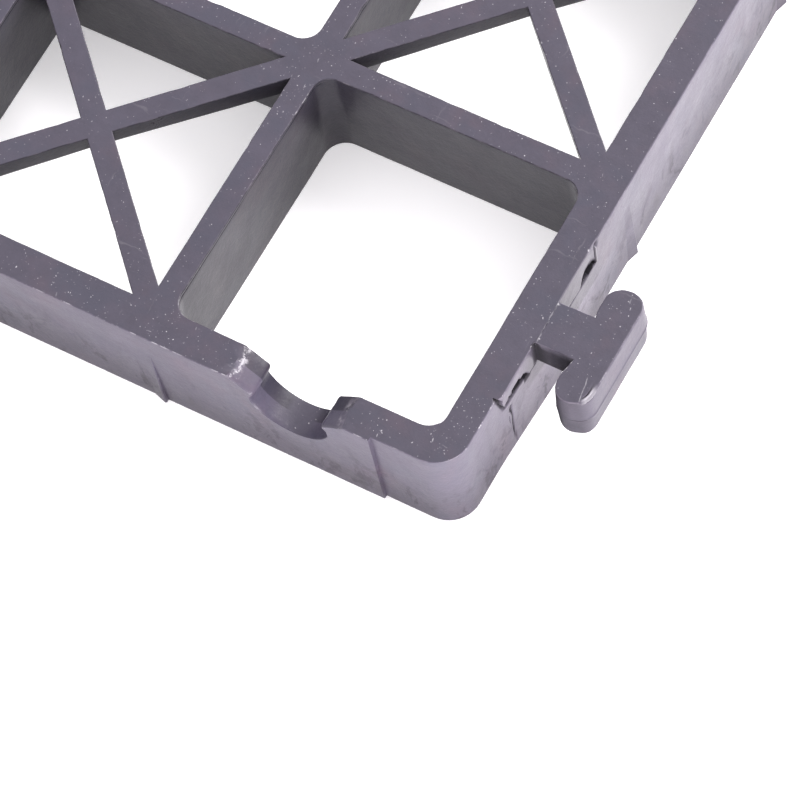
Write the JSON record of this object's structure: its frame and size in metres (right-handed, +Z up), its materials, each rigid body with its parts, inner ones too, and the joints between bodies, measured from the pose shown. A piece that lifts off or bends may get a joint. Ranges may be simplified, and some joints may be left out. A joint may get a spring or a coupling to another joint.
{
  "type": "grass paver grid",
  "caption": "Square moulded plastic grid of open and cross-braced cells, with hooking tongues and notches along its edges, laid on a bed to reinforce turf or gravel.",
  "frame": {"origin": "middle of the grid, on the plane of its underside", "axes": "+Z up, out of the top face; +X and +Y along the sides of the grid, each normal to an outer wall"},
  "size_m": [0.5476, 0.5476, 0.04],
  "materials": {
    "plastic": "satin, scuffed recycled plastic"
  },
  "bodies": {
    "root": {"paver_grid": "plastic"}
  },
  "joints": []
}
